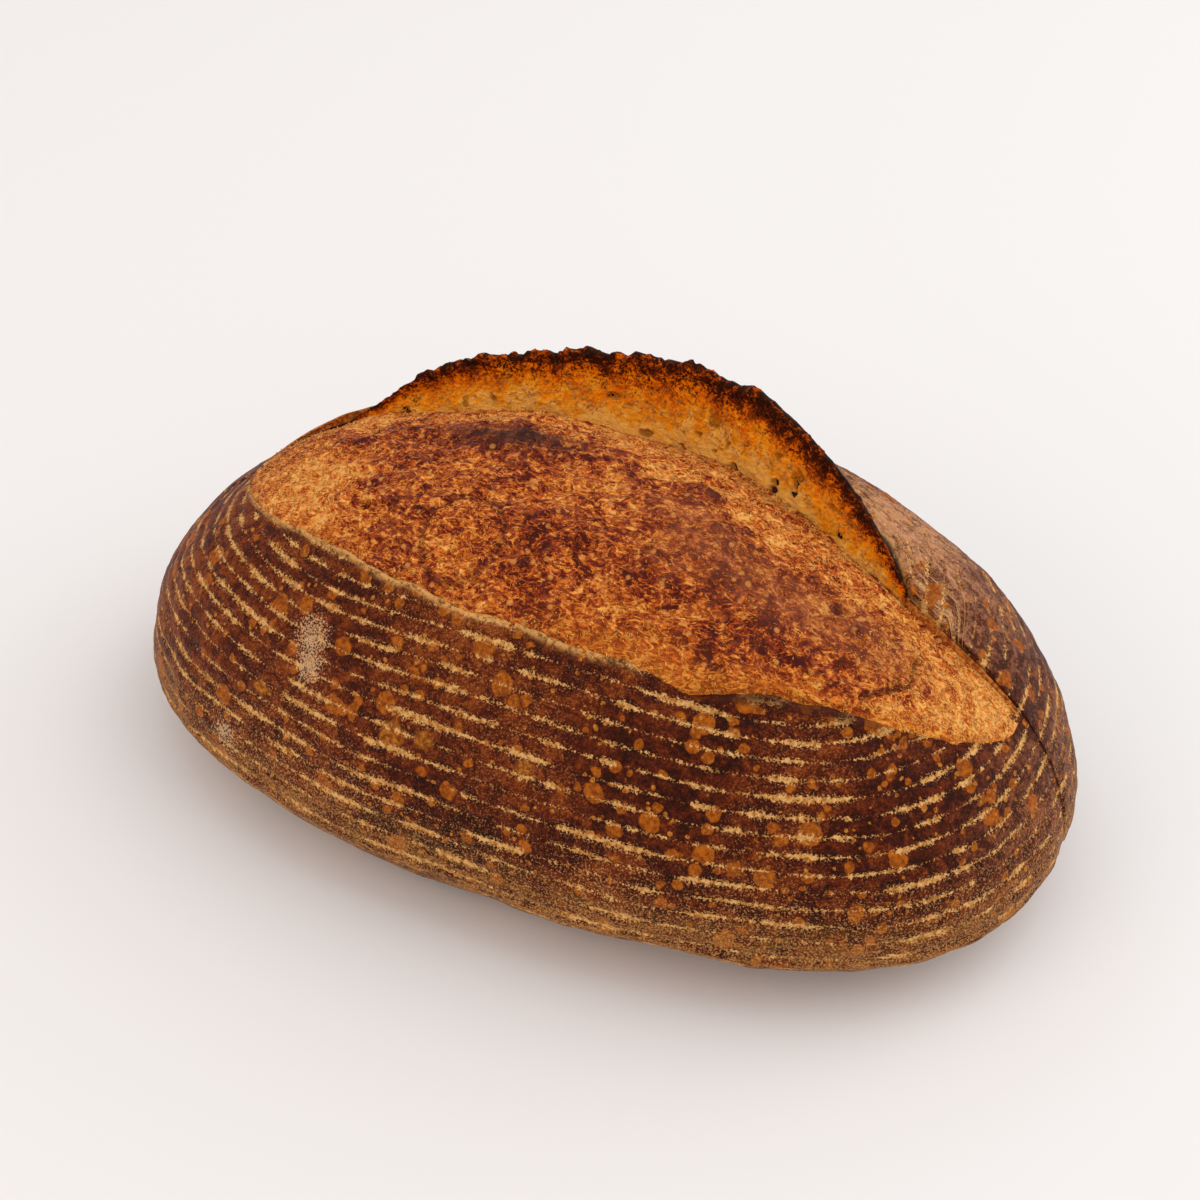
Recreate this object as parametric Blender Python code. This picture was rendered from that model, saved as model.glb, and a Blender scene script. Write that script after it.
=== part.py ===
"""A sourdough loaf as one solid, in metres, +Z up, standing on its flat foot.

X runs along the loaf. One long score opens its top: the near crust (-Y) ends in a low lip, the torn
dough bulges next to it, and the far crust (+Y) stands up as the ear, over a crease. Every cross-section
is one closed line round these, worked out from the sizes below.
"""

import math

import bmesh
import bpy
import numpy as np

# The whole loaf
LENGTH = 0.290
WIDTH = 0.1654
DOME_TOP = 0.1085  # height of the dome that the score opens
WAIST_HEIGHT = 0.0225  # height of the widest outline
FOOT_SHARE = 0.70  # the foot's outline, as a share of the widest one
UNDERSIDE_ROUNDNESS = 1.5  # 1 is a straight bevel from foot to waist, 2 a quarter ellipse
NEAR_LIFT = 0.0045  # the near crust is lifted this far off the surface, at most,
NEAR_LIFT_X = 0.055  # here,
NEAR_LIFT_LENGTH = 0.045  # and less and less over this length
BLUNTNESS = 2.40  # exponent of the plan outline: 2 is an ellipse
EGG_SHAPE = 0.072  # how much wider the +X end is, and how much narrower the other

# The score
SCORE_MIDDLE = 0.007
SCORE_HALF_LENGTH = 0.121
SCORE_LINE = 0.0045  # the knife's line: this far beyond the middle,
SCORE_SLANT = -0.025  # and slanting this much along the loaf
LIP_REACH = 0.054  # from the score's line to the near lip
LIP_ROUNDNESS = 0.55  # small is a blunt almond, large a pointed one
LIP_STEP = 0.0016  # the torn dough starts this far below the lip
BULGE = 0.0035  # how far the torn dough swells above the dome
CREASE_REACH = 0.0425  # from the score's line to the crease
CREASE_PEAK_X = -0.0125
CREASE_LEFT_FULLNESS = 0.75  # as the ear's, below
CREASE_RIGHT_FULLNESS = 3.2
CREASE_DEPTH = 0.0035

# The ear
EAR_HEIGHT = 0.0216
EAR_PEAK_X = 0.009
EAR_LEFT = 0.106  # from its peak to its -X end
EAR_RIGHT = 0.082
EAR_LEFT_FULLNESS = 0.58
EAR_RIGHT_FULLNESS = 0.55
EAR_LEAN = 0.010  # how far the rim lies beyond the crease
EAR_THICKNESS = 0.0036
EAR_ROOT = 0.022  # from the crease to where the ear's back meets the far crust
SHOULDER = 0.0125  # how far the far crust swells above the dome, behind the ear

# Points along each stretch of a cross-section
STATIONS = 60
FOOT_POINTS = 8
UNDERSIDE_POINTS = 5
FAR_SIDE_POINTS = 8
EAR_BACK_POINTS = 5
EAR_FACE_POINTS = 4
DOUGH_POINTS = 11
NEAR_SIDE_POINTS = 10

HALF_LENGTH = LENGTH / 2
HALF_WIDTH = WIDTH / 2


def remove_all_objects():
    for thing in list(bpy.data.objects):
        bpy.data.objects.remove(thing, do_unlink=True)


def half_width(x):
    """Half the loaf's widest outline at x."""
    along = x / HALF_LENGTH
    outline = max(0.0, 1 - abs(along) ** BLUNTNESS) ** (1 / BLUNTNESS)
    return HALF_WIDTH * (1 + EGG_SHAPE * along) * outline


def outline_share(x, y):
    """Which share of the widest outline passes through (x, y): 0 at the centre, 1 at the edge."""
    along = abs(x) / HALF_LENGTH
    across = np.abs(y) / (HALF_WIDTH * (1 + EGG_SHAPE * x / HALF_LENGTH))
    return np.minimum(1.0, (along**BLUNTNESS + across**BLUNTNESS) ** (1 / BLUNTNESS))


def openness(x):
    """1 in the middle of the score and 0 beyond its two tips."""
    return max(0.0, 1 - ((x - SCORE_MIDDLE) / SCORE_HALF_LENGTH) ** 2)


def dome_height(x, y):
    """Height of the unscored upper crust."""
    return WAIST_HEIGHT + (DOME_TOP - WAIST_HEIGHT) * np.sqrt(1 - outline_share(x, y) ** 2)


def far_height(x, y):
    """Height of the far crust, which the opening has pushed up and back."""
    across = np.clip(y / half_width(x), 0, 1)
    return dome_height(x, y) + SHOULDER * openness(x) * 4 * across * (1 - across)


def underside_height(x, y):
    """Height of the lower crust: flat over the foot, and curling up to the waist round it."""
    beyond = np.clip((outline_share(x, y) - FOOT_SHARE) / (1 - FOOT_SHARE), 0, 1)
    curl = WAIST_HEIGHT * (1 - (1 - beyond**UNDERSIDE_ROUNDNESS) ** (1 / UNDERSIDE_ROUNDNESS))
    lift = NEAR_LIFT * math.exp(-(((x - NEAR_LIFT_X) / NEAR_LIFT_LENGTH) ** 2)) * (y < 0)
    return curl + lift * 4 * beyond * (1 - beyond)


def hump(x, peak, left, right, left_fullness, right_fullness):
    """1 at the peak, falling to 0 at left before it and at right beyond it. A low fullness number
    stays high for longer, a large one falls sooner."""
    reach, falloff = (left, left_fullness) if x < peak else (right, right_fullness)
    return max(0.0, 1 - ((x - peak) / reach) ** 2) ** falloff


def ear_rise(x):
    """The ear's height as a share of its most."""
    return hump(x, EAR_PEAK_X, EAR_LEFT, EAR_RIGHT, EAR_LEFT_FULLNESS, EAR_RIGHT_FULLNESS)


def score_lines(x):
    """y of the near lip, of the crease and of the ear's root at x. Beyond the tips they close up."""
    size = half_width(x) / HALF_WIDTH
    opened = openness(x)
    closed = 0.004 * size * (1 - opened)
    line = (SCORE_LINE + SCORE_SLANT * x) * size
    lip = line - LIP_REACH * opened**LIP_ROUNDNESS - closed
    left = CREASE_PEAK_X - SCORE_MIDDLE + SCORE_HALF_LENGTH
    right = SCORE_MIDDLE + SCORE_HALF_LENGTH - CREASE_PEAK_X
    bow = hump(x, CREASE_PEAK_X, left, right, CREASE_LEFT_FULLNESS, CREASE_RIGHT_FULLNESS)
    crease = line + CREASE_REACH * bow + closed
    root = crease + (0.12 + 0.88 * ear_rise(x)) * EAR_ROOT * size
    return lip, crease, root


def bezier(points, count):
    """count points along the cubic through these control points, without the last one."""
    a, b, c, d = (np.array(point) for point in points)
    t = np.linspace(0, 1, count, endpoint=False)[:, None]
    return (1 - t) ** 3 * a + 3 * t * (1 - t) ** 2 * b + 3 * t**2 * (1 - t) * c + t**3 * d


def ear_corners(x):
    """(crease, rim over the dough, rim over the back, root) of the ear as (y, z) points."""
    _, crease_y, root_y = score_lines(x)
    rise = ear_rise(x)
    crease = np.array((crease_y, dome_height(x, crease_y) - CREASE_DEPTH * openness(x) ** 0.5))
    root = np.array((root_y, far_height(x, root_y)))
    low_y = (crease_y + root_y) / 2
    low = np.array((low_y, dome_height(x, low_y)))
    high = crease + np.array((EAR_LEAN, EAR_HEIGHT)) * rise
    rim = low + (high - low) * min(1.0, 2.2 * rise)
    back = rim + np.array((0.95, -0.35)) * (EAR_THICKNESS * rise + 0.0004)
    return crease, rim, back, root


def ear_line(x):
    """The ear from its root over the rim and down to the crease."""
    crease, rim, back, root = ear_corners(x)
    rise = ear_rise(x)
    step = 0.001
    slope = (far_height(x, root[0] - step) - root[1]) / step
    uphill = np.array((-1, slope)) / math.hypot(1, slope)
    down_the_back = np.array((0.25, -1)) * 0.4 * abs(back[1] - root[1])
    outer = bezier((root, root + uphill * 0.008 * rise, back + down_the_back, back), EAR_BACK_POINTS)
    hollow = np.array((0.003, 0)) * rise
    third = (crease - rim) / 3
    inner = bezier((rim, rim + third + hollow, crease - third + hollow, crease), EAR_FACE_POINTS)
    return np.concatenate((outer, back[None], inner))


def dough_line(x):
    """The torn dough from the crease to the near lip, with a small step up to the lip's edge."""
    lip_y, crease_y, _ = score_lines(x)
    opened = openness(x)
    across = np.linspace(1, 0, DOUGH_POINTS)
    y = lip_y + (crease_y - lip_y) * across
    swell = np.sin(math.pi * across**0.85) * BULGE * opened
    step = LIP_STEP * opened * (1 - across) ** 3
    into_crease = CREASE_DEPTH * opened**0.5 * across**5
    z = dome_height(x, y) + swell - step - into_crease
    return np.stack((y, z), axis=1)


def side_line(x, side, top_y, count):
    """The crust on one side (1 far, -1 near), from the waist up to top_y."""
    wide = half_width(x)
    turn = np.linspace(0, math.acos(side * top_y / wide), count, endpoint=False)
    y = side * wide * np.cos(turn)
    return np.stack((y, far_height(x, y)), axis=1)


def foot_line(x, side):
    """The lower crust on one side, from the foot's edge out to the waist."""
    wide = half_width(x)
    along = abs(x) / HALF_LENGTH
    edge = max(0.0, FOOT_SHARE**BLUNTNESS - along**BLUNTNESS) ** (1 / BLUNTNESS)
    edge_y = max(edge * HALF_WIDTH * (1 + EGG_SHAPE * x / HALF_LENGTH), 0.3 * wide)
    turn = np.linspace(math.acos(edge_y / wide), 0, UNDERSIDE_POINTS, endpoint=False)
    y = side * wide * np.cos(turn)
    return np.stack((y, underside_height(x, y)), axis=1)


def cross_section(x):
    """All the points round the loaf at x: from the foot's middle by the far side, over the ear, the
    dough and the near lip, and back under."""
    far_foot = foot_line(x, 1)
    near_foot = foot_line(x, -1)[::-1]
    lip_y, _, root_y = score_lines(x)
    far_side = side_line(x, 1, root_y, FAR_SIDE_POINTS)
    near_side = side_line(x, -1, lip_y, NEAR_SIDE_POINTS)[::-1]
    lip = np.array([(lip_y, dome_height(x, lip_y))])
    base_y = np.linspace(near_foot[-1][0], far_foot[0][0], FOOT_POINTS + 2)[1:-1]
    base = np.stack((base_y, underside_height(x, base_y)), axis=1)
    half = FOOT_POINTS // 2
    return np.concatenate(
        (base[half:], far_foot, far_side, ear_line(x), dough_line(x), lip, near_side, near_foot, base[:half])
    )


def loaf_mesh():
    """A sphere whose rows become the loaf's stations and whose columns run round each section."""
    around = len(cross_section(0.0))
    bm = bmesh.new()
    bmesh.ops.create_uvsphere(bm, u_segments=around, v_segments=STATIONS, radius=1)
    sections = {}
    for vertex in bm.verts:
        polar = math.acos(max(-1.0, min(1.0, vertex.co.z)))
        station = round(polar / math.pi * STATIONS)
        x = -HALF_LENGTH * math.cos(math.pi * station / STATIONS)
        if station in (0, STATIONS):
            vertex.co = (x, 0, WAIST_HEIGHT)
            continue
        if station not in sections:
            sections[station] = cross_section(x)
        turn = math.atan2(vertex.co.x, vertex.co.y) / (2 * math.pi)
        y, z = sections[station][round(turn * around) % around]
        vertex.co = (x, y, z)
    mesh = bpy.data.meshes.new("loaf")
    bm.to_mesh(mesh)
    bm.free()
    mesh.shade_smooth()
    return mesh


def crust_material():
    material = bpy.data.materials.new("crust")
    material.use_nodes = True
    shader = material.node_tree.nodes["Principled BSDF"]
    shader.inputs["Base Color"].default_value = (0.24, 0.075, 0.028, 1)
    shader.inputs["Roughness"].default_value = 0.55
    shader.inputs["Metallic"].default_value = 0.0
    return material


remove_all_objects()
loaf = bpy.data.objects.new("loaf", loaf_mesh())
loaf.data.materials.append(crust_material())
bpy.context.scene.collection.objects.link(loaf)
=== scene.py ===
import math

import bmesh
import bpy
import numpy as np
from mathutils import Matrix, Vector, noise


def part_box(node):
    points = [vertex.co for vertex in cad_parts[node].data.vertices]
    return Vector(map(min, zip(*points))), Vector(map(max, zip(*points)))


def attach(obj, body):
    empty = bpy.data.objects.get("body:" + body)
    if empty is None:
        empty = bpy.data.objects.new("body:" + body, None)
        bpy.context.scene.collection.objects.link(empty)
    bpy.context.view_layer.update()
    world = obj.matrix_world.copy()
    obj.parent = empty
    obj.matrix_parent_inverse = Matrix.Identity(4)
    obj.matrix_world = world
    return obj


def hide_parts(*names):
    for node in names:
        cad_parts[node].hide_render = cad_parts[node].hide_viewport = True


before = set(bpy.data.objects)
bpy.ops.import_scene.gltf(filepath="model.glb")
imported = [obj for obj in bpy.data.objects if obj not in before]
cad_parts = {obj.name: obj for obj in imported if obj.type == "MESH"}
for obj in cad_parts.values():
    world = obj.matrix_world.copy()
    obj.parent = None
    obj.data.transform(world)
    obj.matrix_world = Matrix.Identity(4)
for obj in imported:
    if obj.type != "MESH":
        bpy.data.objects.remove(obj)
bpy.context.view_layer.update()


# ---------------------------------------------------------------------------------------------
# The crust: the dough's outer skin, proofed in a cane basket and baked dark. It covers the base,
# both sides and the back of the ear. One knife cut along the top has opened it: it ends in the
# near lip, and at the rim of the ear on the far side. Flour from the basket's canes lies on it.

low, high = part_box("loaf")
HALF_LENGTH = (high.x - low.x) / 2
HALF_WIDTH = 0.0827  # before the loaf's egg shape widens one end
DOME_TOP = 0.1085
WAIST_HEIGHT = 0.0225
FOOT_SHARE = 0.70
UNDERSIDE_ROUNDNESS = 1.5
NEAR_LIFT = 0.0045
NEAR_LIFT_X = 0.055
NEAR_LIFT_LENGTH = 0.045
BLUNTNESS = 2.40
EGG_SHAPE = 0.072

SCORE_MIDDLE = 0.007
SCORE_HALF_LENGTH = 0.121
SCORE_LINE = 0.0045
SCORE_SLANT = -0.025
LIP_REACH = 0.054
LIP_ROUNDNESS = 0.55
LIP_STEP = 0.0016
NOTCH_X = 0.050
NOTCH_LENGTH = 0.013
NOTCH_DEPTH = 0.004
CREASE_REACH = 0.0425
CREASE_PEAK_X = -0.0125
CREASE_LEFT_FULLNESS = 0.62
CREASE_RIGHT_FULLNESS = 3.2
CREASE_DEPTH = 0.0035

EAR_HEIGHT = 0.0216
EAR_PEAK_X = 0.009
EAR_LEFT = 0.106
EAR_RIGHT = 0.082
EAR_LEFT_FULLNESS = 0.58
EAR_RIGHT_FULLNESS = 0.55
EAR_LEAN = 0.010
EAR_THICKNESS = 0.0036
EAR_ROOT = 0.022
EAR_HOLLOW = 0.0030  # how far the control points of its inner face lie behind a straight one
SHOULDER = 0.0125

DUSTINGS = (  # x, y, z and radius of loose flour left on the crust
    (-0.062, -0.057, 0.074, 0.007),
    (-0.060, -0.062, 0.066, 0.005),
    (-0.090, -0.068, 0.034, 0.006),
)
BLISTERS = (  # x, y, z and radius of the two largest blisters and of a bright one
    (-0.030, -0.072, 0.061, 0.0040),
    (-0.020, -0.073, 0.063, 0.0031),
    (-0.076, -0.064, 0.055, 0.0028),
    (0.011, -0.073, 0.065, 0.0026),
)
RING_PITCH = 0.0055  # from one cane of the basket to the next
RING_RELIEF = 0.00022
POCKET_DEPTH = 0.006  # how far the skin is cut away under the torn dough


def half_width(x):
    """Half the loaf's widest outline at x."""
    along = x / HALF_LENGTH
    outline = np.maximum(0, 1 - abs(along) ** BLUNTNESS) ** (1 / BLUNTNESS)
    return HALF_WIDTH * (1 + EGG_SHAPE * along) * outline


def outline_share(x, y):
    """Which share of the widest outline passes through (x, y): 0 at the centre, 1 at the edge."""
    along = abs(x) / HALF_LENGTH
    across = abs(y) / (HALF_WIDTH * (1 + EGG_SHAPE * x / HALF_LENGTH))
    return np.minimum(1, (along**BLUNTNESS + across**BLUNTNESS) ** (1 / BLUNTNESS))


def openness(x):
    """1 in the middle of the score and 0 beyond its two tips."""
    return np.maximum(0, 1 - ((x - SCORE_MIDDLE) / SCORE_HALF_LENGTH) ** 2)


def dome_height(x, y):
    """Height of the upper crust as if it had not been scored."""
    return WAIST_HEIGHT + (DOME_TOP - WAIST_HEIGHT) * np.sqrt(1 - outline_share(x, y) ** 2)


def far_height(x, y):
    """Height of the far crust, which the opening has pushed up and back."""
    across = np.clip(y / half_width(x), 0, 1)
    return dome_height(x, y) + SHOULDER * openness(x) * 4 * across * (1 - across)


def underside_height(x, y):
    """Height of the lower crust: flat over the foot, curling up to the waist round it."""
    beyond = np.clip((outline_share(x, y) - FOOT_SHARE) / (1 - FOOT_SHARE), 0, 1)
    curl = WAIST_HEIGHT * (1 - (1 - beyond**UNDERSIDE_ROUNDNESS) ** (1 / UNDERSIDE_ROUNDNESS))
    lift = NEAR_LIFT * np.exp(-(((x - NEAR_LIFT_X) / NEAR_LIFT_LENGTH) ** 2)) * (y < 0)
    return curl + lift * 4 * beyond * (1 - beyond)


def hump(x, peak, left, right, left_fullness, right_fullness):
    """1 at the peak, falling to 0 at left before it and at right beyond it."""
    before = np.maximum(0, 1 - ((x - peak) / left) ** 2) ** left_fullness
    beyond = np.maximum(0, 1 - ((x - peak) / right) ** 2) ** right_fullness
    return np.where(x < peak, before, beyond)


def smooth_step(value, start, end):
    t = np.clip((value - start) / (end - start), 0, 1)
    return t * t * (3 - 2 * t)


def lumps(points, size, octaves=3, seed=0.0, ridged=False):
    """Fractal noise at each point, about -1 to 1, in lumps of this size. size may be (x, y, z)."""
    flat = points.reshape(-1, 3) / np.broadcast_to(size, 3) + (seed * 7.31, seed * 3.17, seed * 5.71)
    if ridged:
        made = [noise.ridged_multi_fractal(p, 1.0, 2.1, octaves, 1.0, 1.6) for p in flat.tolist()]
    else:
        made = [noise.fractal(p, 1.0, 2.1, octaves) for p in flat.tolist()]
    return np.array(made).reshape(points.shape[:-1])


def along_loaf(x, size, octaves=3, seed=0.0):
    """The same noise at stations along the loaf only."""
    zero = np.zeros_like(x)
    return lumps(np.stack((x, zero, zero), axis=-1), size, octaves, seed)


def ear_rise(x):
    """The ear's height as a share of its most."""
    return hump(x, EAR_PEAK_X, EAR_LEFT, EAR_RIGHT, EAR_LEFT_FULLNESS, EAR_RIGHT_FULLNESS)


def score_lines(x):
    """y of the near lip, of the crease and of the ear's root at x. Beyond the tips they close up."""
    size = half_width(x) / HALF_WIDTH
    opened = openness(x)
    closed = 0.004 * size * (1 - opened)
    line = (SCORE_LINE + SCORE_SLANT * x) * size
    lip = line - LIP_REACH * opened**LIP_ROUNDNESS - closed
    lip = lip - NOTCH_DEPTH * np.exp(-(((x - NOTCH_X) / NOTCH_LENGTH) ** 2))
    lip = lip + 0.0012 * along_loaf(x, 0.016, 3, 1.0) * opened**0.5
    left = CREASE_PEAK_X - SCORE_MIDDLE + SCORE_HALF_LENGTH
    right = SCORE_MIDDLE + SCORE_HALF_LENGTH - CREASE_PEAK_X
    bow = hump(x, CREASE_PEAK_X, left, right, CREASE_LEFT_FULLNESS, CREASE_RIGHT_FULLNESS)
    crease = line + CREASE_REACH * bow + closed
    root = crease + (0.12 + 0.88 * ear_rise(x)) * EAR_ROOT * size
    return lip, crease, root


def ragged(x):
    """How far the ear's rim rises and dips along its torn left part, in metres."""
    torn = 1 - smooth_step(x, 0.015, 0.05)
    jags = 0.0028 * along_loaf(x, 0.011, 5, 2.0) + 0.0014 * along_loaf(x, 0.0030, 3, 3.0)
    return (0.25 + 0.75 * torn) * jags * ear_rise(x) ** 0.5


def ear_corners(x):
    """The ear's crease, its rim over the dough and its rim over the back, as y and z at x."""
    _, crease_y, root_y = score_lines(x)
    rise = ear_rise(x)
    crease_z = dome_height(x, crease_y) - CREASE_DEPTH * openness(x) ** 0.5
    low_y = (crease_y + root_y) / 2
    share = np.minimum(1, 2.2 * rise)
    rim_y = low_y + (crease_y + EAR_LEAN * rise - low_y) * share
    rim_z = dome_height(x, low_y)
    rim_z = rim_z + (crease_z + EAR_HEIGHT * rise - rim_z) * share + ragged(x)
    thick = EAR_THICKNESS * rise + 0.0004
    return (crease_y, crease_z), (rim_y, rim_z), (rim_y + 0.95 * thick, rim_z - 0.35 * thick)


def spaced(start, end, count):
    """count values from start towards end, which is left to the next stretch."""
    return start + (end - start) * np.linspace(0, 1, count, endpoint=False)


def curve(a, b, c, d, count):
    """A cubic through four control points, each a (y, z) pair of columns, as y and z arrays."""
    t = np.linspace(0, 1, count, endpoint=False)
    parts = ((1 - t) ** 3, 3 * t * (1 - t) ** 2, 3 * t**2 * (1 - t), t**3)
    return tuple(sum(part * point[axis] for part, point in zip(parts, (a, b, c, d))) for axis in (0, 1))


def outward(grid):
    """Unit normals of a grid of points whose rows run along +X and whose columns go round from the
    near side over the top."""
    rows = np.gradient(grid, axis=0)
    columns = np.roll(grid, -1, axis=1) - np.roll(grid, 1, axis=1)
    normals = np.cross(rows, columns)
    return normals / np.maximum(np.linalg.norm(normals, axis=-1, keepdims=True), 1e-12)


def loft(name, grid, values):
    """A closed piece through the grid, made from a sphere whose poles are its first and last row.
    values are named numbers for the material, one for each point of the grid."""
    rows, columns = grid.shape[:2]
    bm = bmesh.new()
    bmesh.ops.create_uvsphere(bm, u_segments=columns, v_segments=rows - 1, radius=1)
    mesh = bpy.data.meshes.new(name)
    bm.to_mesh(mesh)
    bm.free()
    ball = np.empty(len(mesh.vertices) * 3)
    mesh.vertices.foreach_get("co", ball)
    ball = ball.reshape(-1, 3)
    row = np.rint(np.arccos(np.clip(ball[:, 2], -1, 1)) / math.pi * (rows - 1)).astype(int)
    column = np.rint(np.arctan2(-ball[:, 0], ball[:, 1]) / (2 * math.pi) * columns).astype(int) % columns
    mesh.vertices.foreach_set("co", grid[row, column].ravel())
    for label, value in values.items():
        layer = mesh.attributes.new(label, "FLOAT", "POINT")
        value = np.broadcast_to(value, grid.shape[:2])[row, column]
        layer.data.foreach_set("value", value.astype(np.float32))
    mesh.shade_smooth()
    mesh.update()
    piece = bpy.data.objects.new(name, mesh)
    bpy.context.scene.collection.objects.link(piece)
    return piece


def stations(start, end, count, crowding):
    """count places from start to end, crowded towards both ends by a share from 0 to 1."""
    t = np.linspace(0, 1, count)
    even = start + (end - start) * t
    round_ended = (start + end) / 2 - (end - start) / 2 * np.cos(math.pi * t)
    return even + (round_ended - even) * crowding


def close_ends(grid):
    """Draws the first and the last row together into the poles of the piece."""
    grid[0] = grid[1].mean(axis=0)
    grid[-1] = grid[-2].mean(axis=0)
    return grid


CRUST_ROWS = 344
NEAR_COLUMNS = 104
FAR_COLUMNS = 84


def crust_grid():
    """The crust's points, round each station from the base by the near side, under the torn dough,
    over the ear's back and down the far side."""
    x = stations(-HALF_LENGTH, HALF_LENGTH, CRUST_ROWS, 0.75)[:, None]
    x = np.clip(x, -0.9999 * HALF_LENGTH, 0.9999 * HALF_LENGTH)
    wide = half_width(x)
    opened = openness(x)
    lip, crease, root = score_lines(x)
    _, rim, back = ear_corners(x)
    foot = np.maximum(0, FOOT_SHARE**BLUNTNESS - abs(x / HALF_LENGTH) ** BLUNTNESS) ** (1 / BLUNTNESS)
    foot = np.maximum(foot * HALF_WIDTH * (1 + EGG_SHAPE * x / HALF_LENGTH), 0.3 * wide)
    foot_turn = np.arccos(foot / wide)

    def base(y):
        return y, underside_height(x, y)

    near = -wide * np.cos(spaced(0, np.arccos(-lip / wide), NEAR_COLUMNS))
    far = wide * np.cos(spaced(np.arccos(root / wide), 0, FAR_COLUMNS))
    deep = POCKET_DEPTH * opened**0.5
    lip_z = dome_height(x, lip)
    skin = 0.0009 * opened**0.5
    edge = curve((lip, lip_z), (lip + skin, lip_z), (lip + skin, lip_z - skin), (lip, lip_z - deep), 8)
    behind = 0.45 * EAR_THICKNESS * ear_rise(x)
    pocket_y = spaced(lip, crease + behind, 12)
    pocket = (pocket_y, dome_height(x, pocket_y) - deep)
    inside_foot = (crease + behind, dome_height(x, crease + behind) - deep)
    inside_rim = (rim[0] + behind, rim[1] - 0.0006 * ear_rise(x))
    inside = (spaced(inside_foot[0], inside_rim[0], 12), spaced(inside_foot[1], inside_rim[1], 12))
    share = spaced(0.0, 1.0, 12)
    inside = (inside[0] + 3.6 * EAR_HOLLOW * ear_rise(x) * share * (1 - share), inside[1])
    over = (rim[0] + 0.9 * behind, rim[1] + 0.5 * behind)
    rim_line = curve(inside_rim, over, (back[0], back[1] + 0.8 * behind), back, 8)
    root_z = far_height(x, root)
    step = 0.001
    slope = (far_height(x, root - step) - root_z) / step
    reach = 0.008 * ear_rise(x) / np.sqrt(1 + slope**2)
    drop = 0.4 * abs(back[1] - root_z)
    ear_back = curve(
        back,
        (back[0] + 0.25 * drop, back[1] - drop),
        (root - reach, root_z + reach * slope),
        (root, root_z),
        26,
    )
    stretches = (
        base(spaced(np.zeros_like(x), -foot, 6)),
        base(-wide * np.cos(spaced(foot_turn, 0, 10))),
        (near, dome_height(x, near)),
        edge,
        pocket,
        inside,
        rim_line,
        ear_back,
        (far, far_height(x, far)),
        base(wide * np.cos(spaced(0, foot_turn, 10))),
        base(spaced(foot, np.zeros_like(x), 6)),
    )
    names = ("base", "under", "near", "edge", "pocket", "inside", "rim", "ear", "far", "under", "base")
    y = np.concatenate([stretch[0] for stretch in stretches], axis=1)
    z = np.concatenate([stretch[1] for stretch in stretches], axis=1)
    kinds = np.concatenate([[name] * stretch[0].shape[1] for name, stretch in zip(names, stretches)])
    return np.stack(np.broadcast_arrays(x, y, z), axis=-1), kinds


def ring_number(grid):
    """Which ring of the basket a point lay on, counted up the crust from the waist. Rings are one
    pitch apart, measured over the dome towards its middle."""
    x, y = grid[..., 0], grid[..., 1]
    climb = np.arccos(outline_share(x, y))
    plan = np.maximum(np.hypot(x, y), 1e-6)
    edge_radius = plan / np.maximum(outline_share(x, y), 1e-3)
    share = (np.arange(24) + 0.5) / 24
    angle = climb[..., None] * share
    outward_rate = edge_radius[..., None] * np.sin(angle)
    upward_rate = (DOME_TOP - WAIST_HEIGHT) * np.cos(angle)
    rate = np.sqrt(outward_rate**2 + upward_rate**2)
    above = climb * rate.mean(axis=-1)
    below = np.where(grid[..., 2] < WAIST_HEIGHT, (WAIST_HEIGHT - grid[..., 2]) * 1.2, 0)
    return np.where(grid[..., 2] < WAIST_HEIGHT, -below, above) / RING_PITCH


LIP_LINE = 0.0009  # half the width of the crumbly line along the near lip
SWELL = 0.0011  # how far the whole skin is out of true
CHAR_DEPTH = 0.0055  # how far down the ear's back its rim is burnt
FRINGE_DEPTH = 0.004  # where the line of loose flaps lies below the rim
FRINGE_LINE = 0.0010

grid, kinds = crust_grid()
normals = outward(grid)
rings = ring_number(grid)
rings = rings + 0.22 * lumps(grid, 0.045, 2, 4.0)
x = grid[..., 0]
lip_y = score_lines(x[:, 0])[0][:, None]
from_lip = np.where(grid[..., 1] <= lip_y + 0.002, abs(grid[..., 1] - lip_y), 1.0)
lip_line = np.exp(-((from_lip / LIP_LINE) ** 2)) * np.isin(kinds, ("near", "edge")) * openness(x) ** 0.3
# where the lip curls over the dough: raised there, and its line painted dark, partly its own dark crust and
# partly painted shade under the overhang
curl = smooth_step(x, 0.050, 0.062) * (1 - smooth_step(x, 0.088, 0.112))
outside = np.isin(kinds, ("under", "near", "far", "ear"))
canes = 0.5 - abs(rings - np.floor(rings) - 0.5)  # 0 between the canes, 0.5 on one
swell = SWELL * lumps(grid, 0.034, 3, 5.0) + 0.00035 * lumps(grid, 0.009, 3, 6.0)
push = swell * outside + RING_RELIEF * (1 - 4 * canes) * np.isin(kinds, ("near", "far"))
push = push + lip_line * (0.0007 + 0.0016 * curl + 0.0005 * lumps(grid, 0.007, 3, 7.0))
push = push * smooth_step(grid[..., 2], 0.0, 0.020)  # the foot stays flat
grid = grid + normals * (push * (outside | (kinds == "edge")))[..., None]
grid[..., 2] = np.maximum(grid[..., 2], 0)
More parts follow.
